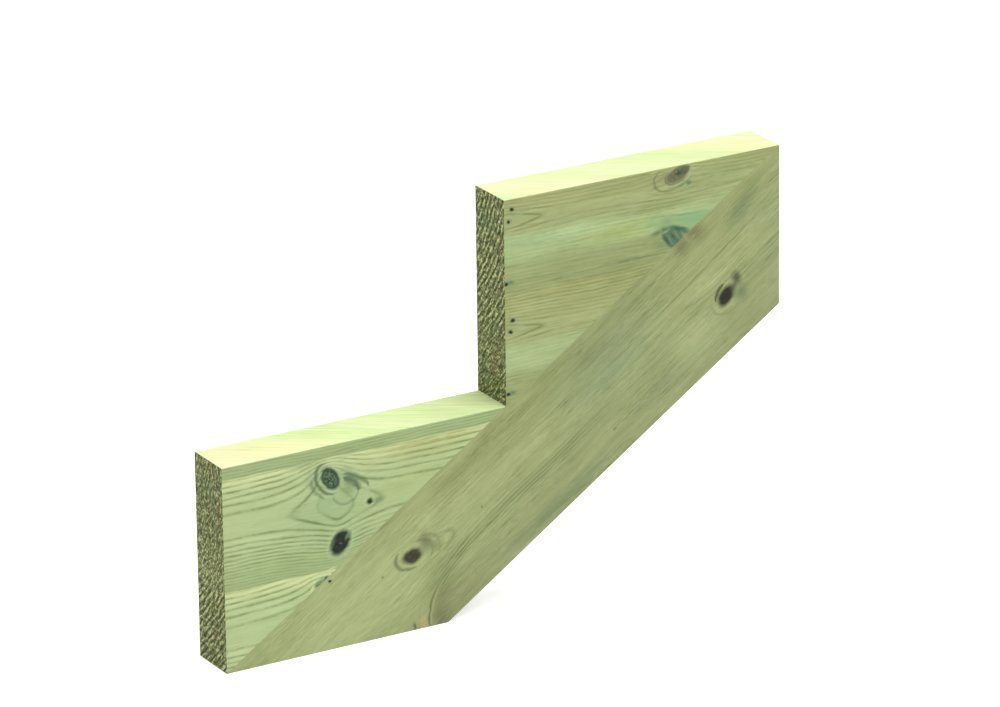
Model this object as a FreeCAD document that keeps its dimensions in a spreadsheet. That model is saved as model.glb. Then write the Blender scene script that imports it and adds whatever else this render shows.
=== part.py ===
import FreeCAD, Part
import os
import Sketcher

# Two-step outdoor stair stringer, built up from three pieces of treated pine.
# A sloping carriage board carries two right-angled triangular step blocks. The blocks sit on the
# board's upper edge, tip to toe, so the joint runs straight from the toe of the stringer through
# the inner corner of the notch to the back of the upper tread. Washer-head screws come up through
# the board into the blocks, with their heads sunk below its foot and its sloping underside.
# Frame: +X up the run, +Y across the thickness, +Z up. The origin is on the ground, at mid
# thickness, straight under the second riser.

PARTS_FOLDER = "parts"
Y_AXIS = FreeCAD.Vector(0, 1, 0)
Z_AXIS = FreeCAD.Vector(0, 0, 1)
TOUCHING = 1e-6
DRIVE_LOBES = 6

# A sketch numbers the points of a line or circle, and its own two axes, in this order.
EDGE, START, END, CENTRE = range(4)
SKETCH_X_AXIS, SKETCH_Y_AXIS = range(-1, -3, -1)
SKETCH_ORIGIN = (SKETCH_X_AXIS, START)

# Driving dimensions, in millimetres.
SIZES = [
    ("rise", 175, "height of one step"),
    ("going", 260, "depth of one step"),
    ("thickness", 45, "thickness of all three timbers"),
    ("board_width", 114, "width of the carriage board, square to its slope"),
    ("eased_edge", 1, "radius on the planed edges along the grain"),
    ("screw_length", 120, "from under the head to the point"),
    ("thread_length", 70, "threaded part of the screw, point included"),
    ("thread_diameter", 6, "over the crests of the thread"),
    ("shank_diameter", 4.4, "plain shank under the head"),
    ("point_length", 7, "tapered end of the thread"),
    ("head_diameter", 14, "washer head"),
    ("head_rim", 1.4, "thickness of the washer head at its rim"),
    ("head_height", 3.8, "thickness of the washer head at its crown"),
    ("crown_diameter", 8.6, "flat top of the crown"),
    ("drive_across", 5.6, "six-lobe drive, over opposite lobes"),
    ("lobe_diameter", 1.3, "one lobe of the drive"),
    ("drive_depth", 2.4, "depth of the drive"),
    ("head_room", 1, "room round a head in its counterbore"),
    ("shank_room", 0.3, "room round a thread in its hole in the board"),
    ("thread_seat", 0.05, "room round a thread in its hole in a block"),
    ("point_room", 1.5, "hole past the point of a screw"),
    ("bite", 60, "how far the screws of the slope reach into a block"),
    ("foot_counterbore", 8, "depth of the counterbore in the foot"),
    ("first_screw", 80, "along the joint from the toe of the upper block"),
    ("second_screw", 125, "along the joint back from the tip of each block"),
    ("foot_screw", 70, "from the first riser, up through the foot"),
]

SIZE = {name: value for name, value, meaning in SIZES}

# Expressions that several pieces share.
SLOPE = "atan(sizes.rise / sizes.going)"
JOINT_LENGTH = "sqrt(sizes.rise ^ 2 + sizes.going ^ 2)"
HEAD_DEPTH = "(sizes.screw_length - sizes.bite)"
CLEARANCE_HOLE = "sizes.thread_diameter + 2 * sizes.shank_room"
COUNTERBORE = "sizes.head_diameter + 2 * sizes.head_room"
THREAD_HOLE = "sizes.thread_diameter + 2 * sizes.thread_seat"
THREAD_START = "sizes.screw_length - sizes.thread_length"
LOBE_CIRCLE = "(sizes.drive_across - sizes.lobe_diameter)"

# Screws square to the slope, by their distance along the joint from the toe of the stringer.
LOWER_SLOPE_SCREW = f"({JOINT_LENGTH} - sizes.second_screw)"
UPPER_FIRST_SCREW = f"({JOINT_LENGTH} + sizes.first_screw)"
UPPER_SECOND_SCREW = f"(2 * {JOINT_LENGTH} - sizes.second_screw)"
SLOPE_SCREWS = [LOWER_SLOPE_SCREW, UPPER_FIRST_SCREW, UPPER_SECOND_SCREW]

doc = FreeCAD.newDocument("stair_stringer")


def make_sheet():
    """Puts the driving dimensions in a spreadsheet, one alias each."""
    sheet = doc.addObject("Spreadsheet::Sheet", "sizes")
    for row, (name, value, meaning) in enumerate(SIZES, start=1):
        sheet.set(f"A{row}", name)
        sheet.set(f"B{row}", str(value))
        sheet.setAlias(f"B{row}", name)
        sheet.set(f"C{row}", meaning)
    doc.recompute()


def new_body(label):
    body = doc.addObject("PartDesign::Body", label)
    body.Label = label
    return body


def new_sketch(body, name, role):
    """Sketch on one of the body's own origin planes."""
    plane = next(feature for feature in body.Origin.OriginFeatures if feature.Role == role)
    sketch = body.newObject("Sketcher::SketchObject", name)
    sketch.AttachmentSupport = [(plane, "")]
    sketch.MapMode = "FlatFace"
    return sketch


def downward_sketch(body, name, angle, drop):
    """Sketch that faces down, tilted from level by an angle and dropped square to its plane."""
    sketch = new_sketch(body, name, "XY_Plane")
    sketch.AttachmentOffset = FreeCAD.Placement(FreeCAD.Vector(), FreeCAD.Rotation(Y_AXIS, 180))
    sketch.setExpression("AttachmentOffset.Rotation.Angle", f"180 deg - {angle}")
    sketch.setExpression("AttachmentOffset.Base.x", f"{drop} * sin({angle})")
    sketch.setExpression("AttachmentOffset.Base.z", f"-{drop} * cos({angle})")
    return sketch


def tie(sketch, constraint, expression):
    """Adds a constraint whose value follows the sheet."""
    index = sketch.addConstraint(constraint)
    sketch.setExpression(f"Constraints[{index}]", expression)


def place_point(sketch, line, point, x=None, y=None):
    """Holds one end of a line at x and y from the sketch's origin, each an expression."""
    for kind, value in (("DistanceX", x), ("DistanceY", y)):
        if value is not None:
            rough = sketch.getPoint(line, point)
            distance = rough.x if kind == "DistanceX" else rough.y
            tie(sketch, Sketcher.Constraint(kind, *SKETCH_ORIGIN, line, point, distance), value)


def add_outline(sketch, corners):
    """Closed outline of straight lines through rough corners, for constraints to size."""
    count = len(corners)
    for start, end in zip(corners, corners[1:] + corners[:1]):
        line = Part.LineSegment(FreeCAD.Vector(*start, 0), FreeCAD.Vector(*end, 0))
        sketch.addGeometry(line, False)
    for line in range(count):
        following = (line + 1) % count
        sketch.addConstraint(Sketcher.Constraint("Coincident", line, END, following, START))


def add_circle(sketch, x, diameter):
    """Circle on the sketch's X axis; x and diameter are expressions."""
    circle = sketch.addGeometry(Part.Circle(FreeCAD.Vector(-1, 0, 0), Z_AXIS, 1), False)
    sketch.addConstraint(Sketcher.Constraint("PointOnObject", circle, CENTRE, SKETCH_X_AXIS))
    place_point(sketch, circle, CENTRE, x=x)
    tie(sketch, Sketcher.Constraint("Diameter", circle, 1), diameter)


def pad_across(body, profile):
    """Extrudes a side profile to the timber's thickness, half to each side of the mid plane."""
    timber = body.newObject("PartDesign::Pad", "Timber")
    timber.Profile = profile
    timber.SideType = "Symmetric"
    timber.setExpression("Length", "sizes.thickness")
    doc.recompute()
    return timber


def ease_edges(body, timber, profile, line):
    """Rounds the two long edges of the face that stands on one line of the side profile."""
    corners = [profile.getPoint(line, START), profile.getPoint(line, END)]
    names = []
    for index, edge in enumerate(timber.Shape.Edges, start=1):
        first, last = edge.Vertexes[0].Point, edge.Vertexes[-1].Point
        on_line = all(
            min((end.x - corner.x) ** 2 + (end.z - corner.y) ** 2 for corner in corners) < TOUCHING
            for end in (first, last)
        )
        if on_line and abs(first.y - last.y) < TOUCHING:
            names.append(f"Edge{index}")
    fillet = body.newObject("PartDesign::Fillet", "Eased_edges")
    fillet.Base = (timber, names)
    fillet.setExpression("Radius", "sizes.eased_edge")
    doc.recompute()


def drill(body, sketch, diameter, depth, counterbore_depth=None):
    """Holes at the circles of a sketch that faces out of the timber."""
    doc.recompute()
    hole = body.newObject("PartDesign::Hole", "Holes")
    hole.Profile = sketch
    doc.recompute()
    hole.DepthType = "Dimension"
    hole.DrillPoint = "Flat"
    hole.setExpression("Diameter", diameter)
    hole.setExpression("Depth", depth)
    if counterbore_depth:
        hole.HoleCutType = "Counterbore"
        hole.HoleCutCustomValues = True
        hole.setExpression("HoleCutDiameter", COUNTERBORE)
        hole.setExpression("HoleCutDepth", counterbore_depth)
    doc.recompute()


def make_carriage_board():
    """Sloping board with a level foot, a plumb back end and counterbored screw holes."""
    body = new_body("carriage_board")
    body.setExpression("Placement.Base.x", "-sizes.going")
    profile = new_sketch(body, "Side_profile", "XZ_Plane")
    run, climb = 2 * SIZE["going"], 2 * SIZE["rise"]
    add_outline(profile, [(0, 0), (run / 2, 0), (run, climb / 2), (run, climb)])
    foot, underside, back, joint = range(4)
    profile.addConstraint(Sketcher.Constraint("Coincident", foot, START, *SKETCH_ORIGIN))
    profile.addConstraint(Sketcher.Constraint("Horizontal", foot))
    profile.addConstraint(Sketcher.Constraint("Vertical", back))
    profile.addConstraint(Sketcher.Constraint("Parallel", underside, joint))
    place_point(profile, back, END, "2 * sizes.going", "2 * sizes.rise")
    width = Sketcher.Constraint("Distance", underside, START, joint, SIZE["board_width"])
    tie(profile, width, "sizes.board_width")
    ease_edges(body, pad_across(body, profile), profile, underside)

    slope_holes = downward_sketch(body, "Slope_screws", SLOPE, "sizes.board_width")
    for along in SLOPE_SCREWS:
        add_circle(slope_holes, f"-{along}", CLEARANCE_HOLE)
    through = "sizes.board_width + sizes.point_room"
    drill(body, slope_holes, CLEARANCE_HOLE, through, f"sizes.board_width - {HEAD_DEPTH}")

    foot_hole = downward_sketch(body, "Foot_screw", "0 deg", "0")
    add_circle(foot_hole, "-sizes.foot_screw", CLEARANCE_HOLE)
    through = f"(sizes.foot_screw + {CLEARANCE_HOLE}) * sizes.rise / sizes.going"
    drill(body, foot_hole, CLEARANCE_HOLE, through, "sizes.foot_counterbore")
    return body


def make_step_block(label, step, slope_screws, has_foot_screw):
    """Triangular block with a plumb riser and a level tread, drilled from its joint face."""
    body = new_body(label)
    body.setExpression("Placement.Base.x", f"{step - 1} * sizes.going")
    body.setExpression("Placement.Base.z", f"{step} * sizes.rise")
    profile = new_sketch(body, "Side_profile", "XZ_Plane")
    add_outline(profile, [(0, 0), (SIZE["going"], SIZE["rise"]), (0, SIZE["rise"])])
    joint, tread, riser = range(3)
    profile.addConstraint(Sketcher.Constraint("Coincident", joint, START, *SKETCH_ORIGIN))
    profile.addConstraint(Sketcher.Constraint("Horizontal", tread))
    profile.addConstraint(Sketcher.Constraint("Vertical", riser))
    place_point(profile, joint, END, "sizes.going", "sizes.rise")
    ease_edges(body, pad_across(body, profile), profile, tread)

    slope_holes = downward_sketch(body, "Slope_screws", SLOPE, "0")
    for along in slope_screws:
        add_circle(slope_holes, f"-({along} - {step} * {JOINT_LENGTH})", THREAD_HOLE)
    drill(body, slope_holes, THREAD_HOLE, "sizes.bite + sizes.point_room")
    if has_foot_screw:
        foot_hole = downward_sketch(body, "Foot_screw", "0 deg", "0")
        add_circle(foot_hole, "-sizes.foot_screw", THREAD_HOLE)
        drill(body, foot_hole, THREAD_HOLE, "sizes.foot_counterbore + sizes.screw_length + sizes.point_room")
    return body


def make_screw():
    """Washer-head wood screw, its seat at the origin and its point up, with a six-lobe drive."""
    body = new_body("screw")
    profile = new_sketch(body, "Half_profile", "XZ_Plane")
    head, stem, crest = (SIZE[f"{part}_diameter"] / 2 for part in ("head", "shank", "thread"))
    top, tip = -SIZE["head_height"], SIZE["screw_length"]
    middle = tip - SIZE["thread_length"]
    add_outline(profile, [
        (0, top), (head / 2, top), (head, top / 2), (head, 0), (stem, 0),
        (stem, middle), (crest, middle), (crest, tip - SIZE["point_length"]), (0, tip),
    ])
    crown, flank, rim, seat, shank, shoulder, thread, point, axis = range(9)
    for line in (crown, seat, shoulder):
        profile.addConstraint(Sketcher.Constraint("Horizontal", line))
    for line in (rim, shank, thread):
        profile.addConstraint(Sketcher.Constraint("Vertical", line))
    for end in (START, END):
        profile.addConstraint(Sketcher.Constraint("PointOnObject", axis, end, SKETCH_Y_AXIS))
    profile.addConstraint(Sketcher.Constraint("PointOnObject", seat, START, SKETCH_X_AXIS))
    place_point(profile, crown, END, "sizes.crown_diameter / 2", "-sizes.head_height")
    place_point(profile, flank, END, "sizes.head_diameter / 2", "-sizes.head_rim")
    place_point(profile, seat, END, "sizes.shank_diameter / 2")
    place_point(profile, shoulder, END, "sizes.thread_diameter / 2", THREAD_START)
    place_point(profile, point, START, y="sizes.screw_length - sizes.point_length")
    place_point(profile, point, END, y="sizes.screw_length")
    turned = body.newObject("PartDesign::Revolution", "Turned")
    turned.Profile = profile
    turned.ReferenceAxis = (profile, ["V_Axis"])
    turned.Angle = 360
    doc.recompute()

    cut_drive(body, "Drive_core", "0", LOBE_CIRCLE)
    lobe = cut_drive(body, "Drive_lobe", f"{LOBE_CIRCLE} / 2", "sizes.lobe_diameter")
    lobes = body.newObject("PartDesign::PolarPattern", "Drive_lobes")
    lobes.Originals = [lobe]
    lobes.Axis = (profile, ["V_Axis"])
    lobes.Occurrences = DRIVE_LOBES
    body.Tip = lobes
    doc.recompute()
    return body


def cut_drive(body, name, x, diameter):
    """One round cut of the drive into the crown of the screw."""
    sketch = downward_sketch(body, f"{name}_outline", "0 deg", "sizes.head_height")
    add_circle(sketch, f"-{x}", diameter)
    cut = body.newObject("PartDesign::Pocket", name)
    cut.Profile = sketch
    cut.setExpression("Length", "sizes.drive_depth")
    doc.recompute()
    return cut


def make_block_screws():
    """The four screws, each seated on the bottom of its counterbore."""
    screw = make_screw()
    seats = [("-sizes.going + sizes.foot_screw", "sizes.foot_counterbore", "0 deg")]
    for along in SLOPE_SCREWS:
        x = f"-sizes.going + {along} * cos({SLOPE}) + {HEAD_DEPTH} * sin({SLOPE})"
        z = f"{along} * sin({SLOPE}) - {HEAD_DEPTH} * cos({SLOPE})"
        seats.append((x, z, SLOPE))
    placed = []
    for number, (x, z, tilt) in enumerate(seats, start=1):
        link = doc.addObject("App::Link", f"placed_screw_{number}")
        link.LinkedObject = screw
        link.Placement = FreeCAD.Placement(FreeCAD.Vector(), FreeCAD.Rotation(Y_AXIS, -10))
        link.setExpression("Placement.Base.x", x)
        link.setExpression("Placement.Base.z", z)
        link.setExpression("Placement.Rotation.Angle", f"-{tilt}")
        placed.append(link)
    group = doc.addObject("Part::Compound", "block_screws")
    group.Label = "block_screws"
    group.Links = placed
    return group


def write_parts(nodes):
    """Checks every object, then writes one file for each node."""
    doc.recompute()
    for item in doc.Objects:
        if {"Invalid", "Error"} & set(item.State):
            raise RuntimeError(f"{item.Label} did not build: {item.State}")
    os.makedirs(PARTS_FOLDER, exist_ok=True)
    for node in nodes:
        if node.Shape.isNull() or not node.Shape.isValid():
            raise RuntimeError(f"{node.Label} has no valid shape")
        node.Shape.exportStep(os.path.join(PARTS_FOLDER, f"{node.Label}.step"))


make_sheet()
write_parts([
    make_carriage_board(),
    make_step_block("lower_step_block", 0, [LOWER_SLOPE_SCREW], True),
    make_step_block("upper_step_block", 1, [UPPER_FIRST_SCREW, UPPER_SECOND_SCREW], False),
    make_block_screws(),
])
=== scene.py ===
import math
from collections import namedtuple

import bpy
from mathutils import Matrix, Vector


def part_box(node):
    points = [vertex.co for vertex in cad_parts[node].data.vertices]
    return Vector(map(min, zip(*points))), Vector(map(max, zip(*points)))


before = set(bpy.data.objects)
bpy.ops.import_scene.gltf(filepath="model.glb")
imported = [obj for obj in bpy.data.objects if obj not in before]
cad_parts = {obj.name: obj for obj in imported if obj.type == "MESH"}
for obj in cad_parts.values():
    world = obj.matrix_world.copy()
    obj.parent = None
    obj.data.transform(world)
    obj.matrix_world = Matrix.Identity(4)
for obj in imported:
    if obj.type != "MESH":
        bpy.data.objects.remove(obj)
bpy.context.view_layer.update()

# Sizes of the stringer in millimetres, read from the solids.
MM = 1000.0
block_low, block_high = (Vector(corner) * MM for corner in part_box("lower_step_block"))
GOING, THICKNESS, RISE = block_high - block_low
FRONT = block_low.y
TOE = Vector((block_low.x, FRONT, block_low.z))
NEXT_TOE = TOE + Vector((GOING, 0, RISE))
SLOPE = math.atan2(RISE, GOING)
UP_SLOPE = Vector((math.cos(SLOPE), 0, math.sin(SLOPE)))
OFF_SLOPE = Vector((-math.sin(SLOPE), 0, math.cos(SLOPE)))

# Camera of the photograph: lens, turn round the object, height, roll, target and distance.
IMAGE_WIDTH = 1000
FOCAL_PIXELS = 7044
CAMERA_AZIMUTH = math.radians(30.22)
CAMERA_ELEVATION = math.radians(20.23)
CAMERA_ROLL = math.radians(-0.71)
CAMERA_TARGET = Vector((7.9, 0, 211.8))
CAMERA_DISTANCE = 5671
SENSOR_WIDTH = 36

# Studio: a pale floor just under the foot, even surroundings and one soft lamp overhead.
FLOOR_SIZE = 40
FLOOR_DROP = 0.2 / MM
FLOOR_GREY = 0.75
FLOOR_GLOW = 0.6
SURROUND_LIGHT = 0.57
LAMP_STRENGTH = 2.3
LAMP_SPREAD = math.radians(50)
LAMP_SIDE = Vector((0.15, -0.28, 1))
WHITE = (1, 1, 1, 1)

# Linear steps of green and blue that look like a step of one in red on these pale greens.
GREEN_STEP = 0.94
BLUE_STEP = 1.22


def srgb(red, green, blue):
    """Linear colour of a colour given on a 0 to 255 scale."""
    def linear(value):
        value /= 255
        return value / 12.92 if value <= 0.04045 else ((value + 0.055) / 1.055) ** 2.4
    return (linear(red), linear(green), linear(blue), 1.0)


class Field:
    """A number, vector or colour that varies over a surface."""

    def __init__(self, graph, socket):
        self.graph = graph
        self.socket = socket

    def math(self, operation, *others):
        return self.graph.math(operation, self, *others)

    def __add__(self, other):
        return self.math("ADD", other)

    def __radd__(self, other):
        return self.math("ADD", other)

    def __sub__(self, other):
        return self.math("SUBTRACT", other)

    def __rsub__(self, other):
        return self.graph.math("SUBTRACT", other, self)

    def __mul__(self, other):
        return self.math("MULTIPLY", other)

    def __rmul__(self, other):
        return self.math("MULTIPLY", other)

    def __truediv__(self, other):
        return self.math("DIVIDE", other)

    def rise(self, low, high):
        """0 below low, 1 above high and smooth between; falls where low is above high."""
        inputs = {"Value": self, "From Min": low, "From Max": high}
        return self.graph.add("ShaderNodeMapRange", inputs, interpolation_type="SMOOTHSTEP")


class Graph:
    """Nodes of one material or of the surroundings, written as formulas."""

    def __init__(self, owner):
        owner.use_nodes = True
        self.owner = owner
        self.tree = owner.node_tree
        self.tree.nodes.clear()

    def add(self, kind, inputs, output=0, **settings):
        node = self.tree.nodes.new(kind)
        for name, value in settings.items():
            setattr(node, name, value)
        for key, value in inputs.items():
            if isinstance(value, Field):
                self.tree.links.new(value.socket, node.inputs[key])
            else:
                node.inputs[key].default_value = value
        return Field(self, node.outputs[output]) if node.outputs else None

    def math(self, operation, *values):
        return self.add("ShaderNodeMath", dict(enumerate(values)), operation=operation)

    def vector(self, x, y, z):
        return self.add("ShaderNodeCombineXYZ", {"X": x, "Y": y, "Z": z})

    def noise(self, x, y, z=0.0, detail=2.0, roughness=0.5):
        """Soft noise, about 0 to 1, with features about one unit long."""
        inputs = {"Vector": self.vector(x, y, z), "Scale": 1.0, "Detail": detail, "Roughness": roughness}
        return self.add("ShaderNodeTexNoise", inputs, "Fac")

    def mix(self, factor, first, second):
        return self.add("ShaderNodeMix", {0: factor, 6: first, 7: second}, 2, data_type="RGBA")

    def shade(self, colour, change):
        """A colour made lighter or darker by about the same step in red, green and blue."""
        steps = self.vector(change, change * GREEN_STEP, change * BLUE_STEP)
        inputs = {0: colour, 1: steps, 2: colour}
        return self.add("ShaderNodeVectorMath", inputs, operation="MULTIPLY_ADD")

    def bands(self, value, stops):
        """Colours by position from 0 to 1, blended between the stops."""
        ramp = self.add("ShaderNodeValToRGB", {"Fac": value})
        elements = ramp.socket.node.color_ramp.elements
        while len(elements) < len(stops):
            elements.new(0.5)
        for element, (position, colour) in zip(elements, stops):
            element.position = position
            element.color = colour
        return ramp

    def surface(self, shader, output="ShaderNodeOutputMaterial"):
        self.add(output, {"Surface": shader})
        return self.owner

    def finish(self, colour, roughness, height, bump_distance, specular, metallic=0.0):
        bump = self.add("ShaderNodeBump", {"Height": height, "Distance": bump_distance, "Strength": 1.0})
        inputs = {
            "Base Color": colour,
            "Roughness": roughness,
            "Metallic": metallic,
            "Normal": bump,
            "Specular IOR Level": specular,
        }
        return self.surface(self.add("ShaderNodeBsdfPrincipled", inputs))


# Rows of the tables below: places and half sizes in millimetres, angles in degrees, strengths as shares.
# Rings: border, period and heart of the pattern, depth of the pith, spacing above and below the heart.
Rings = namedtuple("Rings", "border period heart depth above below")
# Tone at a share of the pattern's height, and how strongly ring lines show there.
Tone = namedtuple("Tone", "place colour lines")
# Knot: soft oval with a mottled heart, a halo past its rim, and the push that parts the grain.
Knot = namedtuple("Knot", "along across length width tilt soft heart rim mottle halo reach part")
# Arc: stroke on an oval's rim, thickest in one direction and tapering over its spread.
Arc = namedtuple("Arc", "along across length width tilt direction spread thick colour strength")
# Swell: oval where the rings bulge by a number of rings.
Swell = namedtuple("Swell", "along across length width lift")
# Patch: oval where ring lines show more, or less.
Patch = namedtuple("Patch", "along across length width tilt strength")
# Stain: soft oval of colour.
Stain = namedtuple("Stain", "along across length width tilt colour strength")
# Hole: small pin hole whose dark inside is painted shade.
Hole = namedtuple("Hole", "along across length width")
# Timber: all of one timber's front face, with tints under its ring lines and strokes over its knots.
Timber = namedtuple(
    "Timber",
    "rings tones tints line_colour streaks clouds swells lined stains knots arcs strokes holes",
    defaults=[()],
)
# Tread: start of its noise, how worn it is, and its colours from the front edge on.
Tread = namedtuple("Tread", "seed wear bands")
# End grain: ring centre, reach, spacing, where plain and where ringed, and a paler or darker band.
EndGrain = namedtuple("EndGrain", "inward across reach spacing plain ringed band lift")

# Colours of the treated pine.
TEAL = srgb(70, 128, 104)
DEEP_TEAL = srgb(42, 98, 78)
SEA_GREEN = srgb(146, 183, 130)
SAGE = srgb(126, 154, 112)
# Near black of a knot's heart, also the painted shade inside the holes.
PITCH = srgb(26, 34, 20)
KNOT_BLACK_AND_HOLE_SHADE = srgb(40, 40, 32)
SLATE = srgb(48, 68, 54)
STONE = srgb(124, 148, 112)
STONE_DARK = srgb(112, 136, 102)
MOSS = srgb(82, 106, 74)
UMBER = srgb(62, 58, 44)
TAN = srgb(136, 136, 94)
DULL_OLIVE = srgb(112, 117, 80)
PALE_HALO = srgb(186, 204, 152)
OLIVE_HALO = srgb(174, 184, 130)
SAGE_HALO = srgb(172, 192, 144)
CREAM = srgb(212, 220, 164)

# Finish of the bare wood.
WOOD_ROUGHNESS = 0.72
WOOD_RELIEF = 0.2 / MM
WOOD_SHEEN = 0.2

# Ring lines: half width as a share of a ring, and weights of the line and of the shoulder beside it.
LINE_WIDTH = 0.13
LINE_WEIGHT = 0.72
SHOULDER_WEIGHT = 0.2

# Relief: how high streaks stand, and how deep ring lines, knots and holes lie.
STREAK_HEIGHT = 0.6
LINE_DEPTH = 0.4
KNOT_DEPTH = 0.4
HOLE_DEPTH = 4

# How far rings wander and ripple, and how many times its own size a knot parts them.
RING_WANDER = 4.0
RING_RIPPLE = 1.2
PARTING_ALONG = 2.2
PARTING_ACROSS = 1.7

# How far painted outlines are pushed about, so that they are uneven.
PUSH_ALONG = 3.2
PUSH_ACROSS = 1.8

# Lean of grain and knots along and across, for each millimetre into the timber.
LEAN_ALONG = 0.2
LEAN_ACROSS = 0.1

# Stains keep their strength down to one depth and end at another.
STAIN_DEPTH = 8
STAIN_END = 14

# Share of each kind of paint that breaks up into streaks.
TINT_STREAKS = 0.7
STAIN_STREAKS = 0.8
STROKE_STREAKS = 0.25

# How squarely a surface has to face up or endways to start, and to finish, counting as top or end.
BLOCK_TURN = (0.6, 0.8)
BOARD_TURN = (0.85, 0.95)

# Sawn ends, from dark pores to pale chips, with a brown and a green tinge.
END_SHADES = [
    (0.1, srgb(54, 62, 28)),
    (0.36, srgb(97, 105, 60)),
    (0.6, srgb(131, 138, 90)),
    (0.92, srgb(212, 218, 152)),
]
END_BROWN = srgb(112, 96, 62)
END_GREEN = srgb(98, 124, 84)
END_TINGE = 0.4
END_TONE = 0.49
FLECK_WEIGHT = 2.1
RINGED_FLECK_WEIGHT = 0.2
CRUMB_WEIGHT = 1.45
END_RING_WEIGHT = 0.2
END_RING_WOBBLE = 4.0
END_BAND_WIDTH = 17

# Coated steel of the screws.
STEEL_SHADES = [(0.3, srgb(132, 136, 120)), (0.7, srgb(166, 168, 154))]
STEEL_RELIEF = 0.05 / MM
STEEL_SHEEN = 0.5
STEEL_ROUGHNESS = 0.35
TARNISH_ROUGHNESS = 0.25
STEEL_METAL = 0.6
TARNISH_SCALE = 400.0

# Lower block: along is the run from its riser face, across is the height.
LOWER = Timber(
    rings=Rings(69.5, 95, 53.5, 36, 3.2, 2.05),
    tones=[
        Tone(0.0, srgb(168, 186, 132), 0.5),
        Tone(0.15, srgb(174, 193, 137), 0.6),
        Tone(0.22, srgb(182, 200, 146), 0.9),
        Tone(0.55, srgb(184, 201, 147), 1.0),
        Tone(0.86, srgb(192, 208, 152), 1.0),
        Tone(0.94, srgb(211, 223, 163), 0.9),
        Tone(0.99, srgb(211, 223, 163), 0.5),
        Tone(1.0, srgb(168, 186, 132), 0.5),
    ],
    tints=[
        # Yellower to the right.
        Stain(185, 155, 85, 14, 0, srgb(186, 195, 132), 0.6),
        Stain(170, 130, 60, 22, 20, srgb(175, 190, 126), 0.6),
        # Greener round the knots and under the tread.
        Stain(98, 122, 46, 34, 0, srgb(162, 187, 136), 0.75),
        Stain(75, 163, 26, 9, 0, srgb(158, 179, 127), 0.75),
        # Paler beside the riser face.
        Stain(16, 14, 36, 14, 0, srgb(204, 218, 164), 0.6),
        Stain(45, 47, 30, 10, 0, srgb(202, 218, 164), 0.5),
        Stain(30, 107, 46, 10, 0, srgb(200, 216, 162), 0.6),
    ],
    line_colour=srgb(107, 127, 68),
    streaks=0.22,
    clouds=0.2,
    swells=[
        Swell(104, 110, 17, 26, -2.5),
        Swell(106, 92, 34, 14, -2.4),
        Swell(97, 148, 12, 12, -5.5),
        Swell(86, 58, 14, 11, -3.0),
    ],
    lined=[
        Patch(150, 150, 60, 16, 0, -0.25),
        Patch(30, 28, 50, 30, 0, -0.2),
    ],
    stains=[
        # Tan streak under the top band.
        Stain(190, 160, 70, 2.5, 0, srgb(176, 160, 96), 0.5),
        # Shades round the knots.
        Stain(112, 146, 11, 9, -50, srgb(148, 167, 122), 0.8),
        Stain(82, 147, 9, 14, 20, srgb(152, 173, 127), 0.7),
        Stain(144, 102, 18, 8, 12, srgb(184, 199, 144), 0.7),
        Stain(113, 136, 11, 9, -40, srgb(136, 158, 111), 0.8),
        Stain(106, 161, 11, 5, 0, srgb(164, 187, 136), 0.7),
    ],
    knots=[
        # Mottled knot, dark knot and pin knot.
        Knot(97.3, 146.5, 10.8, 7.2, -55, 0.18, STONE_DARK, SLATE, 1.0, SAGE_HALO, 1.35, 4),
        Knot(105.2, 90.0, 11.2, 8.2, 56, 0.27, PITCH, srgb(78, 94, 76), 0.24, PALE_HALO, 1.25, 3),
        Knot(133, 119.8, 3.2, 2.6, 10, 0.5, srgb(34, 50, 38), SLATE, 0.4, PALE_HALO, 1.6, 2),
    ],
    arcs=[
        # Bark round the mottled knot.
        Arc(97, 146.5, 15.0, 11.2, -52, 195, 120, 2.6, MOSS, 0.8),
        Arc(95.5, 145, 18.5, 14.0, -52, 212, 55, 2.2, MOSS, 0.5),
        # Folds to its right and below it.
        Arc(105, 132.5, 17.5, 12.5, 0, 34, 48, 4.0, MOSS, 0.85),
        Arc(104, 128, 30, 21, -8, 42, 40, 2.6, MOSS, 0.7),
        Arc(111, 131, 11.4, 8.6, 0, 270, 120, 1.9, MOSS, 0.4),
    ],
    strokes=[
        # Half knot at the joint, with pale bark lines beside it.
        Stain(86.5, 59.5, 9.5, 5, 28, srgb(116, 146, 104), 0.95),
        Stain(91.5, 62.8, 4, 1.6, 35, SLATE, 0.85),
        Stain(83.5, 58, 3.5, 1.4, 25, MOSS, 0.7),
        Stain(79, 55.8, 7, 1.5, 68, CREAM, 0.9),
        Stain(91, 66, 8, 1.5, 14, CREAM, 0.9),
        Stain(95, 69.2, 11, 1.2, 10, CREAM, 0.8),
        # Tail of the pin knot.
        Stain(141, 119.5, 7, 3, 0, STONE, 0.7),
        # Paler edges and core of the dark knot.
        Stain(98.4, 90.4, 9, 2.8, 62, srgb(84, 106, 90), 0.7),
        Stain(112.4, 95.2, 6, 2.8, 56, srgb(118, 142, 112), 0.8),
        Stain(105.4, 89.6, 1.8, 1.4, 0, srgb(120, 104, 88), 0.8),
    ],
)

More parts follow.
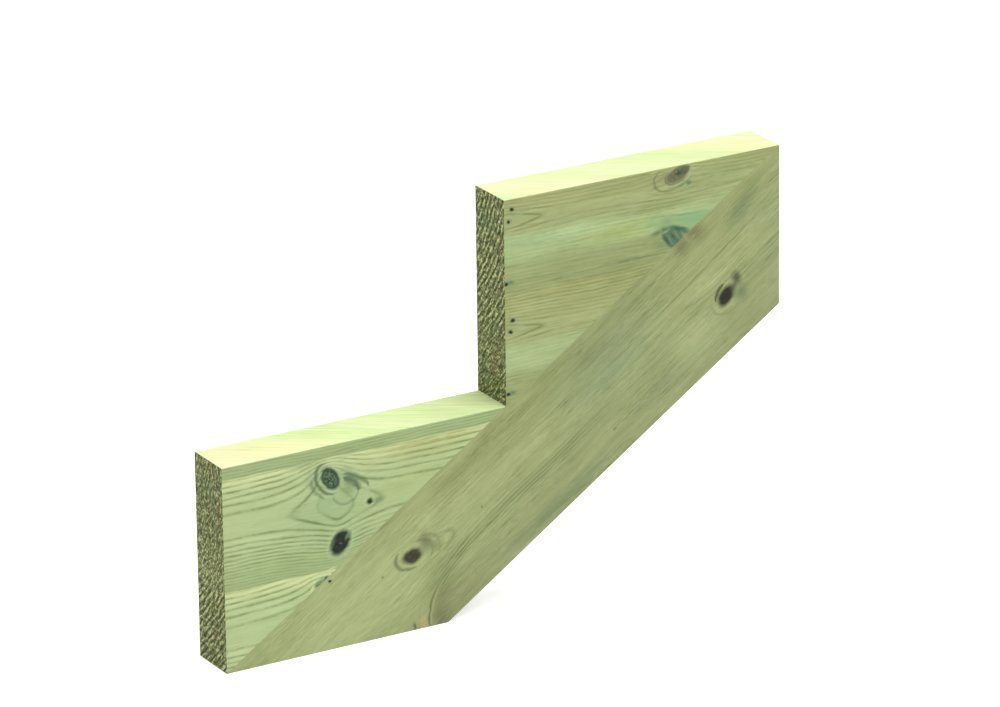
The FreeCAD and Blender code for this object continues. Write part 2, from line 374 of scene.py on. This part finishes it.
# Upper block: the same way round, one step up.
UPPER = Timber(
    rings=Rings(16.25, 93.75, 46.5, 6, 2.9, 3.4),
    tones=[
        Tone(0.0, srgb(160, 171, 117), 0.3),
        Tone(0.075, srgb(161, 172, 118), 0.25),
        Tone(0.155, srgb(175, 192, 136), 0.15),
        Tone(0.33, srgb(178, 196, 139), 0.15),
        Tone(0.405, srgb(171, 180, 125), 0.4),
        Tone(0.635, srgb(171, 178, 121), 0.5),
        Tone(0.815, srgb(172, 178, 120), 0.75),
        Tone(0.894, srgb(158, 169, 115), 0.3),
        Tone(1.0, srgb(160, 171, 117), 0.3),
    ],
    tints=[
        # Yellow, mint and sea-green streaks.
        Stain(110, 128, 60, 12, 0, srgb(174, 190, 122), 0.9),
        Stain(40, 136, 60, 8, 0, srgb(177, 201, 147), 0.8),
        Stain(20, 114, 40, 9, 0, srgb(164, 178, 124), 0.8),
        Stain(176, 127, 34, 11, -4, SEA_GREEN, 1.0),
        Stain(146, 129, 26, 8, 0, srgb(160, 188, 130), 0.9),
        # Olive streaks.
        Stain(195, 155, 60, 22, 0, srgb(164, 178, 122), 0.7),
        Stain(150, 143, 80, 7, 0, srgb(161, 171, 115), 0.9),
        Stain(78, 97, 60, 7, 0, srgb(150, 159, 107), 0.8),
        Stain(30, 82, 42, 8, 0, srgb(182, 187, 130), 0.8),
    ],
    line_colour=srgb(112, 120, 63),
    streaks=0.4,
    clouds=0.36,
    swells=[
        Swell(-5, 156.5, 24, 13, -2.6),
        Swell(-5, 62.75, 24, 13, -2.6),
        Swell(158, 167, 15, 10, -3.0),
        Swell(158, 112, 26, 16, -1.5),
    ],
    lined=[
        Patch(140, 146, 70, 8, 0, 0.4),
        Patch(26, 156.5, 30, 15, 0, 0.5),
        Patch(26, 63, 30, 15, 0, 0.5),
    ],
    stains=[
        # Long thin lines.
        Stain(160, 133, 36, 1.8, -4.5, srgb(112, 144, 96), 0.65),
        Stain(120, 103, 44, 2.5, 0, srgb(122, 130, 88), 0.8),
        Stain(70, 92, 60, 2.5, 0, srgb(184, 178, 118), 0.5),
        # Shades beside the knots and the pin holes.
        Stain(152, 167, 9, 6, 20, TAN, 0.8),
        Stain(146, 110, 12, 8, 0, srgb(132, 149, 103), 0.75),
        Stain(14, 160, 7, 6, 0, srgb(164, 182, 132), 0.7),
        Stain(14, 67, 7, 6, 0, srgb(164, 182, 132), 0.7),
    ],
    knots=[
        # Knot under the tread, and teal knot cut by the joint.
        Knot(163, 167.5, 11.6, 6.0, 20, 0.14, srgb(92, 102, 74), TAN, 0.6, OLIVE_HALO, 1.2, 3),
        Knot(158, 115.5, 14, 7.8, -56, 0.14, srgb(89, 117, 86), srgb(102, 130, 96), 0.8, SAGE, 1.1, 3),
    ],
    arcs=[
        Arc(163, 167.5, 12.6, 6.8, 20, 250, 130, 1.0, DULL_OLIVE, 0.8),
        Arc(157, 166, 17, 11, 12, 215, 90, 1.3, DULL_OLIVE, 0.6),
        Arc(163.5, 167, 16.5, 9.6, 20, 285, 75, 1.3, DULL_OLIVE, 0.55),
    ],
    strokes=[
        # Dark half and star crack of the knot under the tread.
        Stain(168, 169.5, 7.5, 5.5, 20, srgb(72, 92, 78), 0.6),
        Stain(163, 168, 5.5, 1.5, 10, srgb(54, 72, 58), 0.75),
        Stain(163.5, 168, 1.5, 4.0, 0, srgb(54, 72, 58), 0.75),
        # Pale green wood over the teal knot.
        Stain(178, 127, 24, 9, -4, SEA_GREEN, 0.7),
        Stain(156, 126, 18, 4, -4, srgb(158, 186, 130), 0.9),
        # Cracks of the teal knot.
        Stain(151.5, 113, 10, 3.0, -56, srgb(66, 92, 70), 0.85),
        Stain(155, 113.5, 9, 1.2, -56, srgb(134, 154, 116), 0.45),
        Stain(158.5, 114.5, 9, 1.2, -56, srgb(56, 82, 64), 0.6),
        Stain(161.5, 116, 8, 1.3, -56, srgb(132, 154, 118), 0.7),
        # Teal bleed round it.
        Stain(162, 122, 12, 3.0, -14, DEEP_TEAL, 0.66),
        Stain(168.5, 118.5, 10, 3.8, -25, DEEP_TEAL, 0.8),
        Stain(163.5, 122.2, 12, 1.3, -17, srgb(32, 84, 74), 0.3),
        Stain(151, 120.5, 6, 1.6, 20, srgb(156, 178, 130), 0.8),
        Stain(143, 121, 9, 3.5, 20, srgb(92, 124, 90), 0.8),
        # Teal bleed at pin holes and under the upper knot.
        Stain(5, 104.5, 5, 3, 0, TEAL, 0.8),
        Stain(6, 10.5, 5, 3, 0, TEAL, 0.8),
        Stain(173, 158.5, 4, 2.4, 10, TEAL, 0.9),
        Stain(166, 157.5, 4, 1.6, 20, TEAL, 0.6),
    ],
    holes=[
        Hole(7.0, 166, 2.0, 1.5),
        Hole(4.25, 156, 1.8, 1.5),
        Hole(7.0, 72, 2.0, 1.5),
        Hole(4.75, 62.5, 1.8, 1.5),
        Hole(1.25, 103.75, 1.8, 1.8),
        Hole(2.0, 10, 1.8, 1.5),
    ],
)

# Board: along is up the slope from the toe, across is square to the slope from the joint.
BOARD = Timber(
    rings=Rings(-114.5, 116, 66, 20, 2.6, 2.2),
    tones=[
        Tone(0.0, srgb(157, 165, 117), 0.1),
        Tone(0.25, srgb(160, 168, 118), 0.15),
        Tone(0.4, srgb(162, 171, 120), 0.2),
        Tone(0.55, srgb(170, 179, 125), 0.15),
        Tone(0.8, srgb(164, 172, 118), 0.15),
        Tone(1.0, srgb(161, 170, 115), 0.1),
    ],
    tints=[
        # Paler toe, bluish middle and olive upper edge.
        Stain(110, -45, 170, 60, 0, srgb(179, 190, 136), 0.9),
        Stain(406, -32, 82, 48, 0, srgb(146, 158, 114), 0.95),
        Stain(405, -48, 50, 13, 0, srgb(144, 160, 118), 0.7),
        Stain(445, -12, 75, 16, 0, srgb(143, 151, 102), 0.6),
        # Dull patches along the slope, and a paler one.
        Stain(571, -19, 34, 14, 20, srgb(134, 150, 108), 0.8),
        Stain(300, -104, 90, 9, 0, srgb(130, 142, 102), 0.9),
        Stain(440, -92, 70, 12, 0, srgb(148, 158, 114), 0.7),
        Stain(310, -14, 130, 14, 0, srgb(150, 158, 106), 0.8),
        Stain(190, -104, 34, 26, 0, srgb(150, 155, 109), 0.9),
        Stain(188, -76, 34, 19, 25, srgb(144, 153, 106), 0.85),
        Stain(176, -94, 20, 16, 40, srgb(134, 138, 95), 0.45),
        Stain(480, -88, 46, 25, 0, srgb(174, 183, 131), 0.75),
        Stain(385, -17, 55, 14, 0, srgb(146, 156, 108), 0.6),
        Stain(592, -40, 32, 32, 0, srgb(152, 163, 116), 0.6),
    ],
    line_colour=srgb(104, 116, 64),
    streaks=0.6,
    clouds=0.42,
    swells=[
        Swell(187, -47, 15, 11, -3.4),
        Swell(515, -66, 26, 18, -3.0),
        Swell(142, -104, 26, 24, -20.0),
    ],
    lined=[
        Patch(285, -70, 135, 10, 0, 0.6),
        Patch(198, -76, 34, 9, 22, 0.6),
        Patch(205, -48, 18, 12, 0, 0.4),
        Patch(495, -54, 26, 12, 0, 0.5),
        Patch(560, -62, 60, 12, 0, 0.35),
    ],
    stains=[
        # Haze over the toe.
        Stain(100, -48, 95, 62, 0, srgb(174, 184, 131), 0.4),
        # Edge knot at the foot.
        Stain(166, -106, 18, 13, 55, srgb(112, 111, 75), 0.72),
        Stain(152.5, -96.5, 9, 5.5, 55, srgb(192, 180, 126), 0.85),
        # Two brown patches by the joint.
        Stain(510, -5, 13, 13, -30, srgb(126, 130, 88), 0.9),
        Stain(526, -5, 15, 14, -40, srgb(126, 127, 86), 0.9),
        # Bundle of dark rings, and one long line.
        Stain(290, -69, 130, 7, 0, srgb(124, 136, 90), 0.2),
        Stain(525, -36.5, 105, 1.5, 2.6, srgb(116, 128, 86), 0.65),
    ],
    knots=[
        # Lower and upper knot.
        Knot(177.9, -42.1, 9.2, 6.3, -22, 0.32, srgb(56, 53, 42), DULL_OLIVE, 0.2, OLIVE_HALO, 1.45, 5),
        Knot(517.3, -71.4, 10.2, 6.5, 18, 0.34, KNOT_BLACK_AND_HOLE_SHADE, UMBER, 0.5, OLIVE_HALO, 1.35, 5),
    ],
    arcs=[
        # Bark and outer rings of the lower knot.
        Arc(177.2, -41.8, 15.0, 10.6, -25, 190, 85, 2.2, srgb(92, 92, 62), 0.6),
        Arc(181, -44, 16, 11.5, -10, 10, 75, 1.8, DULL_OLIVE, 0.45),
        Arc(184, -45, 20, 14, -10, 5, 60, 1.8, DULL_OLIVE, 0.35),
        Arc(190, -50, 27, 9.5, -5, 0, 50, 1.4, DULL_OLIVE, 0.35),
        # Bark and outer ring of the upper knot.
        Arc(517.3, -71, 12.4, 9.0, 25, 118, 62, 2.6, srgb(62, 64, 46), 0.85),
        Arc(517, -72, 16.5, 13.5, 10, 235, 80, 1.8, TAN, 0.45),
        # Border of the edge knot.
        Arc(194.5, -122, 43.6, 43.6, 0, 146, 48, 1.3, srgb(104, 104, 68), 0.75),
        Arc(194.5, -122, 41.6, 41.6, 0, 144, 46, 1.1, srgb(176, 180, 128), 0.6),
    ],
    strokes=[
        # Plumes beside the lower knot.
        Stain(193.5, -41, 9, 14, -20, srgb(114, 119, 82), 0.75),
        Stain(199, -50, 6, 7, -15, srgb(136, 144, 98), 0.8),
        # Plumes beside the upper knot.
        Stain(533, -65.5, 6, 9, -10, srgb(88, 94, 62), 1.0),
        Stain(527.5, -69.5, 7, 4.5, 20, srgb(98, 102, 72), 0.8),
        Stain(529, -79, 11, 10, 0, srgb(118, 132, 92), 0.8),
        # Bark at the edge knot, and a pale gap between the brown patches.
        Stain(144.5, -94, 5.5, 2, 60, srgb(92, 88, 58), 0.9),
        Stain(517, -3.5, 2.2, 6, 0, srgb(172, 172, 122), 0.45),
        # Specks.
        Stain(148, -37, 1.8, 1.4, 0, DULL_OLIVE, 0.9),
        Stain(248, -54, 1.8, 1.4, 0, DULL_OLIVE, 0.9),
        Stain(376, -90, 2.2, 1.4, 0, DULL_OLIVE, 0.9),
    ],
    holes=[Hole(111.8, -4.2, 1.4, 1.1)],
)

# Sawn ends: ring centres set in from the front face and up from each timber's starting corner.
LOWER_END = EndGrain(227, 240, 250, 5.2, plain=85, ringed=60, band=80, lift=0.09)
UPPER_END = EndGrain(227, 252, 250, 5.2, plain=45, ringed=70, band=8, lift=-0.07)
BOARD_END = EndGrain(90, -60, 70, 4.6, plain=-140, ringed=-120, band=-60, lift=0.05)

# Bands of the planed treads, which run askew: place along the front edge and colour.
TREAD_SKEW = 1.6
TREAD_RUN = GOING + THICKNESS * TREAD_SKEW
TREAD_WANDER = 30
TREAD_FRAY = 40
TREAD_GRAIN = 0.32
TREAD_SCRATCH = 0.16
LOWER_TREAD = Tread(seed=4.0, wear=1.7, bands=[
    (20, srgb(230, 233, 184)),
    (60, srgb(225, 231, 174)),
    (106, srgb(226, 231, 171)),
    (122, srgb(214, 229, 165)),
    (148, srgb(206, 226, 160)),
    (183, srgb(215, 229, 170)),
    (205, srgb(212, 227, 168)),
    (228, srgb(206, 224, 159)),
    (270, srgb(212, 228, 166)),
    (320, srgb(216, 231, 166)),
])
UPPER_TREAD = Tread(seed=7.0, wear=1.0, bands=[
    (15, srgb(215, 229, 170)),
    (35, srgb(226, 231, 177)),
    (70, srgb(227, 232, 183)),
    (100, srgb(223, 231, 175)),
    (120, srgb(218, 230, 171)),
    (150, srgb(223, 231, 181)),
    (180, srgb(218, 229, 172)),
    (212, srgb(211, 228, 164)),
    (238, srgb(223, 231, 174)),
    (260, srgb(228, 233, 174)),
    (300, srgb(225, 231, 180)),
])


def coordinates(graph, origin, along, across):
    """Distances along, across and into a timber from its front corner, in millimetres."""
    place = graph.add("ShaderNodeTexCoord", {}, "Object")
    offset = graph.add("ShaderNodeVectorMath", {0: place, 1: origin / MM}, operation="SUBTRACT")
    inward = Vector((0, 1, 0))
    return [
        graph.add("ShaderNodeVectorMath", {0: offset, 1: axis * MM}, "Value", operation="DOT_PRODUCT")
        for axis in (along, across, inward)
    ]


def facing(graph):
    """How far the surface faces along the stringer, and how far up."""
    normal = graph.add("ShaderNodeTexCoord", {}, "Normal")
    parts = graph.add("ShaderNodeSeparateXYZ", {0: normal}).socket.node
    return [Field(graph, parts.outputs[axis]) for axis in ("X", "Z")]


def leaning(along, across, inward):
    """Place in a timber whose grain and knots lean a little on their way through it."""
    return along + inward * LEAN_ALONG, across + inward * LEAN_ACROSS, inward


def oval(along, across, spot, tilt=0):
    """Distance from an oval's middle, 1 at its rim."""
    turn = math.radians(tilt)
    right, up = along - spot.along, across - spot.across
    main = (right * math.cos(turn) + up * math.sin(turn)) / spot.length
    cross = (up * math.cos(turn) - right * math.sin(turn)) / spot.width
    return (main * main + cross * cross).math("SQRT")


def toward(along, across, spot, direction):
    """1 on the side of a spot that lies in a direction, -1 on the side away from it."""
    turn = math.radians(direction)
    right, up = along - spot.along, across - spot.across
    reach = (right * right + up * up).math("SQRT") + 0.01
    return (right * math.cos(turn) + up * math.sin(turn)) / reach


def fade(distance):
    """Bell curve: 1 in the middle, about a third at distance 1."""
    return (distance * distance * -1.0).math("EXPONENT")


def peak(distance):
    """Rounded hump with long tails, about a third at distance 1."""
    return ((distance * distance + 0.12).math("SQRT") * -1.0).math("EXPONENT")


def near_front(inward):
    """1 on the front face, falling to 0 inside the timber."""
    return inward.rise(STAIN_END, STAIN_DEPTH)


def part_round(along, across, knots):
    """Height across a timber with the grain pushed apart round the knots."""
    level = across
    for knot in knots:
        reach = knot._replace(length=knot.length * PARTING_ALONG, width=knot.width * PARTING_ACROSS)
        push = fade(oval(along, across, reach)) * (knot.part / reach.width)
        level = level - (across - knot.across) * push
    return level


def rings_of(graph, place, timber):
    """Share of the sawn pattern's height, ring count, and rings a millimetre across the face."""
    along, across, inward = place
    rings = timber.rings
    wander = graph.noise(along / 60, across / 24, inward / 40) - 0.5
    ripple = graph.noise(along / 14, across / 3, inward / 8, detail=4, roughness=0.6) - 0.5
    level = part_round(along, across, timber.knots) + wander * RING_WANDER + ripple * RING_RIPPLE
    strip = (level - rings.border).math("FLOORED_MODULO", rings.period)
    offset = strip - rings.heart
    depth = inward + rings.depth
    radius = (offset * offset + depth * depth).math("SQRT")
    spacing = rings.below + (rings.above - rings.below) * offset.rise(-3, 3)
    count = (radius - rings.depth) / spacing
    for swell in timber.swells:
        count = count + swell.lift * peak(oval(along, across, swell))
    density = offset.math("ABSOLUTE") / radius / spacing
    return strip / rings.period, count, density


def paint_stains(graph, colour, place, stains, streaky):
    """Paints soft patches on the front face, more or less broken up into streaks."""
    along, across, inward = place
    streak = graph.noise(along / 12, across / 2.0, inward / 4, detail=3).rise(0.2, 0.55)
    cover = near_front(inward) * (1 - streaky + streak * streaky)
    for stain in stains:
        mask = oval(along, across, stain, stain.tilt).rise(1.1, 0.05)
        colour = graph.mix(mask * cover * stain.strength, colour, stain.colour)
    return colour


def paint_knots(graph, colour, place, timber):
    """Paints the knots' pale halos, then the bark lines round them, then their dark hearts."""
    along, across, inward = place
    blotch = graph.noise(along / 2.6, across / 2.6, inward / 2.6, detail=4, roughness=0.65)
    blotch = blotch.rise(0.36, 0.6)
    for knot in timber.knots:
        ring = oval(along, across, knot, knot.tilt)
        colour = graph.mix(ring.rise(knot.reach * 1.3, knot.reach * 0.8) * 0.6, colour, knot.halo)
    for arc in timber.arcs:
        gap = (oval(along, across, arc, arc.tilt) - 1).math("ABSOLUTE") * arc.width
        taper = toward(along, across, arc, arc.direction).rise(math.cos(math.radians(arc.spread)), 1.0)
        stroke = (gap / (taper * arc.thick * 1.2 + 0.02)).rise(1.0, 0.0)
        colour = graph.mix(stroke * taper.rise(0.0, 0.5) * arc.strength, colour, arc.colour)
    inside = 0.0
    for knot in timber.knots:
        ring = oval(along, across, knot, knot.tilt)
        core = ring.rise(1 + knot.soft, 1 - knot.soft)
        grime = blotch.math("MAXIMUM", ring.rise(0.35, 1.0)) * knot.mottle
        colour = graph.mix(core, colour, graph.mix(grime, knot.heart, knot.rim))
        inside = inside + core
    return colour, inside


def paint_holes(graph, colour, place, holes):
    """Paints small holes on the front face, their dark insides as painted shade, each with a faint green
    edge.
    """
    along, across, inward = place
    near = near_front(inward)
    pits = 0.0
    for hole in holes:
        distance = oval(along, across, hole)
        colour = graph.mix(distance.rise(2.4, 0.8) * near * 0.5, colour, STONE)
        pit = distance.rise(1.3, 0.4) * near
        # Painted shade: the inside of each hole is darkened to near black.
        colour = graph.mix(pit, colour, KNOT_BLACK_AND_HOLE_SHADE)
        pits = pits + pit
    return colour, pits


def drawn_lines(graph, place, share, count, timber):
    """How strongly the ring lines show: by height, in some patches more, and patchy along each line."""
    along, across, inward = place
    greys = [(tone.place, (tone.lines, tone.lines, tone.lines, 1)) for tone in timber.tones]
    shown = graph.bands(share, greys)
    for patch in timber.lined:
        shown = shown + oval(along, across, patch, patch.tilt).rise(1.0, 0.3) * patch.strength
    patchy = graph.noise(along / 26, count / 1.2, inward / 20, detail=4, roughness=0.65)
    return shown * (0.3 + patchy.rise(0.34, 0.64) * 0.7)


def uneven(graph, place):
    """Place on the face pushed about a little, so that painted outlines are uneven."""
    along, across, inward = place
    sideways = graph.noise(along / 7, across / 5, inward / 7, detail=1) - 0.5
    upward = graph.noise(along / 7, across / 5, inward / 7 + 9, detail=1) - 0.5
    return along + sideways * PUSH_ALONG, across + upward * PUSH_ACROSS, inward


def ring_lines(count, density):
    """Dark line in each ring, and the soft shoulder that leads up to it."""
    part = count.math("FRACT")
    lines = (part - 0.5).math("ABSOLUTE").rise(LINE_WIDTH + density, 0.0)
    shoulder = part.rise(0.05, 0.5) * part.rise(0.55, 0.5)
    return lines * (0.5 + density.rise(0.0, 0.16) * 0.5), shoulder


def grain_of(graph, place):
    """Fine streaks by themselves, and with pores and dashes, stronger where the face is worn."""
    along, across, inward = place
    streaks = graph.noise(along / 48, across / 1.5, inward / 1.8, detail=3, roughness=0.6) - 0.5
    dashes = graph.noise(along / 20, across / 1.4, inward / 1.4, detail=2).rise(0.54, 0.76)
    pores = graph.noise(along / 7, across / 1.2, inward / 1.2, detail=2) - 0.5
    worn = graph.noise(along / 55, across / 16, inward / 16 + 5).rise(0.35, 0.65)
    return streaks, (streaks + pores * 0.8 - dashes * 0.5) * (0.4 + worn * 0.8)


def clouds_of(graph, place):
    """Broad lighter and darker clouds, drawn out along the grain."""
    along, across, inward = place
    broad = graph.noise(along / 75, across / 12, inward / 14)
    small = graph.noise(along / 38, across / 5, inward / 6, detail=2)
    return broad + small - 1.0


def tone_of(graph, place, share, tones):
    """Colour by height in the sawn pattern, with ragged borders inside the pattern."""
    along, across, inward = place
    ragged = graph.noise(along / 45, across / 6, inward / 8, detail=2) - 0.5
    ragged = ragged * share.rise(0.0, 0.12) * share.rise(1.0, 0.88) * 0.14
    return graph.bands(share + ragged, [(tone.place, tone.colour) for tone in tones])


def broad_face(graph, place, timber):
    """Colour and relief of a timber's faces along the grain."""
    share, count, density = rings_of(graph, place, timber)
    lines, shoulder = ring_lines(count, density)
    streaks, grain = grain_of(graph, place)
    clouds = clouds_of(graph, place)
    drawn = drawn_lines(graph, place, share, count, timber)
    ring_cover = (lines * LINE_WEIGHT + shoulder * SHOULDER_WEIGHT) * drawn
    rough_place = uneven(graph, place)
    colour = tone_of(graph, place, share, timber.tones)
    colour = paint_stains(graph, colour, rough_place, timber.tints, TINT_STREAKS)
    colour = graph.shade(colour, grain * timber.streaks + clouds * timber.clouds)
    colour = graph.mix(ring_cover, colour, timber.line_colour)
    colour = paint_stains(graph, colour, rough_place, timber.stains, STAIN_STREAKS)
    colour, inside = paint_knots(graph, colour, rough_place, timber)
    colour = paint_stains(graph, colour, rough_place, timber.strokes, STROKE_STREAKS)
    colour, pits = paint_holes(graph, colour, rough_place, timber.holes)
    relief = streaks * STREAK_HEIGHT - lines * drawn * LINE_DEPTH
    return colour, relief - inside * KNOT_DEPTH - pits * HOLE_DEPTH


def end_face(graph, inward, across, grain):
    """Sawn end of a timber: slanting rings broken up into coarse dark and pale flecks."""
    right, up = inward - grain.inward, across - grain.across
    radius = (right * right + up * up).math("SQRT")
    sweep = up.math("ARCTAN2", right) * grain.reach
    wobble = graph.noise(inward / 12, across / 12) - 0.5
    flecks = graph.noise(radius / 1.9, sweep / 7.6, 0.0, detail=2, roughness=0.6) - 0.5
    crumbs = graph.noise(inward / 2.4, across / 2.0, 3.0, detail=2) - 0.5
    rings = ((radius + wobble * END_RING_WOBBLE) * (2 * math.pi / grain.spacing)).math("SINE")
    ringed = across.rise(grain.plain, grain.ringed)
    lift = fade((across - grain.band) / END_BAND_WIDTH) * grain.lift
    tone = END_TONE + lift + flecks * (FLECK_WEIGHT + ringed * RINGED_FLECK_WEIGHT)
    tone = tone + crumbs * CRUMB_WEIGHT + rings * ringed * END_RING_WEIGHT
    colour = graph.bands(tone, END_SHADES)
    tint = graph.noise(inward / 12, across / 20, 7.0)
    colour = graph.mix(tint.rise(0.56, 0.72) * END_TINGE, colour, END_BROWN)
    colour = graph.mix(tint.rise(0.44, 0.3) * END_TINGE, colour, END_GREEN)
    return colour, tone


def tread_face(graph, along, inward, tread):
    """Planed top: cream and pale green bands that run askew, with fine scratches."""
    askew = along + inward * TREAD_SKEW
    lengthwise = along - inward / TREAD_SKEW
    wander = graph.noise(lengthwise / 70, askew / 30, tread.seed, detail=3) - 0.5
    fine = graph.noise(lengthwise / 60, askew / 6, tread.seed, detail=3, roughness=0.6) - 0.5
    scratch = graph.noise(lengthwise / 70, askew / 3.6, tread.seed + 5, detail=2).rise(0.58, 0.74)
    place = (askew + wander * TREAD_WANDER + fine * tread.wear * TREAD_FRAY) / TREAD_RUN
    colour = graph.bands(place, [(stop / TREAD_RUN, shade) for stop, shade in tread.bands])
    return graph.shade(colour, (fine * TREAD_GRAIN - scratch * TREAD_SCRATCH) * tread.wear)


def finished_wood(graph, face, end, on_end):
    """Wood whose long faces turn into sawn end grain."""
    colour, height = face
    end_colour, end_height = end
    colour = graph.mix(on_end, colour, end_colour)
    height = height * (1 - on_end) + end_height * on_end
    return graph.finish(colour, WOOD_ROUGHNESS, height, WOOD_RELIEF, WOOD_SHEEN)


def block_wood(name, origin, timber, grain, tread):
    """Material of a step block: grain level, planed tread on top, sawn end on the riser face."""
    graph = Graph(bpy.data.materials.new(name))
    along, across, inward = coordinates(graph, origin, Vector((1, 0, 0)), Vector((0, 0, 1)))
    facing_end, facing_up = facing(graph)
    colour, height = broad_face(graph, leaning(along, across, inward), timber)
    end = end_face(graph, inward, across, grain)
    on_end = facing_end.math("ABSOLUTE").rise(*BLOCK_TURN)
    on_top = facing_up.rise(*BLOCK_TURN)
    colour = graph.mix(on_top, colour, tread_face(graph, along, inward, tread))
    return finished_wood(graph, (colour, height), end, on_end)


def board_wood():
    """Material of the carriage board: grain up the slope, sawn ends at its foot and back."""
    graph = Graph(bpy.data.materials.new("carriage_board_pine"))
    along, across, inward = coordinates(graph, TOE, UP_SLOPE, OFF_SLOPE)
    facing_end, facing_up = facing(graph)
    face = broad_face(graph, leaning(along, across, inward), BOARD)
    end = end_face(graph, inward, across, BOARD_END)
    on_end = facing_end.math("MAXIMUM", facing_up * -1.0).rise(*BOARD_TURN)
    return finished_wood(graph, face, end, on_end)


def screw_steel():
    """Coated steel: dull grey-green with faint cloudy tarnish."""
    graph = Graph(bpy.data.materials.new("coated_steel"))
    place = graph.add("ShaderNodeTexCoord", {}, "Object")
    inputs = {"Vector": place, "Scale": TARNISH_SCALE, "Detail": 3.0}
    tarnish = graph.add("ShaderNodeTexNoise", inputs, "Fac")
    colour = graph.bands(tarnish, STEEL_SHADES)
    roughness = STEEL_ROUGHNESS + tarnish * TARNISH_ROUGHNESS
    return graph.finish(colour, roughness, tarnish, STEEL_RELIEF, STEEL_SHEEN, STEEL_METAL)


def seen(graph):
    """1 where a surface is seen, straight or by reflection, and 0 where it only lights others."""
    path = graph.add("ShaderNodeLightPath", {}).socket.node
    camera, glossy, through = [
        Field(graph, path.outputs[name])
        for name in ("Is Camera Ray", "Is Glossy Ray", "Is Transmission Ray")
    ]
    return camera.math("MAXIMUM", glossy).math("MAXIMUM", through)


def build_floor():
    """Pale floor that shows white to the camera and keeps the object's shadow."""
    bpy.ops.mesh.primitive_plane_add(size=FLOOR_SIZE, location=(0, 0, -FLOOR_DROP))
    floor = bpy.context.object
    floor.name = "floor"
    graph = Graph(bpy.data.materials.new("floor_white"))
    paper = graph.add("ShaderNodeBsdfDiffuse", {"Color": (FLOOR_GREY, FLOOR_GREY, FLOOR_GREY, 1)})
    glow = graph.add("ShaderNodeEmission", {"Color": WHITE, "Strength": seen(graph) * FLOOR_GLOW})
    floor.data.materials.append(graph.surface(graph.add("ShaderNodeAddShader", {0: paper, 1: glow})))


def build_light():
    """Even surroundings, seen as white, with a soft overhead lamp."""
    world = bpy.data.worlds.new("studio")
    graph = Graph(world)
    strength = SURROUND_LIGHT + seen(graph) * (1 - SURROUND_LIGHT)
    glow = graph.add("ShaderNodeBackground", {"Color": WHITE, "Strength": strength})
    bpy.context.scene.world = graph.surface(glow, "ShaderNodeOutputWorld")
    lamp = bpy.data.lights.new("overhead", "SUN")
    lamp.energy = LAMP_STRENGTH
    lamp.angle = LAMP_SPREAD
    overhead = bpy.data.objects.new("overhead", lamp)
    bpy.context.scene.collection.objects.link(overhead)
    overhead.rotation_euler = LAMP_SIDE.to_track_quat("Z", "Y").to_euler()


def build_camera():
    """Long lens at the photograph's viewing angle."""
    level = Vector((math.cos(CAMERA_AZIMUTH), -math.sin(CAMERA_AZIMUTH), 0))
    ahead = Vector((math.sin(CAMERA_AZIMUTH), math.cos(CAMERA_AZIMUTH), 0))
    forward = ahead * math.cos(CAMERA_ELEVATION) - Vector((0, 0, math.sin(CAMERA_ELEVATION)))
    above = level.cross(forward)
    right = level * math.cos(CAMERA_ROLL) + above * math.sin(CAMERA_ROLL)
    up = above * math.cos(CAMERA_ROLL) - level * math.sin(CAMERA_ROLL)
    lens = bpy.data.cameras.new("camera")
    lens.sensor_width = SENSOR_WIDTH
    lens.lens = FOCAL_PIXELS / IMAGE_WIDTH * SENSOR_WIDTH
    camera = bpy.data.objects.new("camera", lens)
    bpy.context.scene.collection.objects.link(camera)
    eye = (CAMERA_TARGET - forward * CAMERA_DISTANCE) / MM
    axes = Matrix((right, up, -forward)).transposed()
    camera.matrix_world = Matrix.Translation(eye) @ axes.to_4x4()
    bpy.context.scene.camera = camera


def dress(node, material):
    """Gives a CAD node its material."""
    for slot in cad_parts[node].material_slots:
        slot.material = material


bpy.context.scene.view_settings.view_transform = "Standard"
build_floor()
build_light()
build_camera()
lower_pine = block_wood("lower_block_pine", TOE, LOWER, LOWER_END, LOWER_TREAD)
upper_pine = block_wood("upper_block_pine", NEXT_TOE, UPPER, UPPER_END, UPPER_TREAD)
dress("lower_step_block", lower_pine)
dress("upper_step_block", upper_pine)
dress("carriage_board", board_wood())
dress("block_screws", screw_steel())
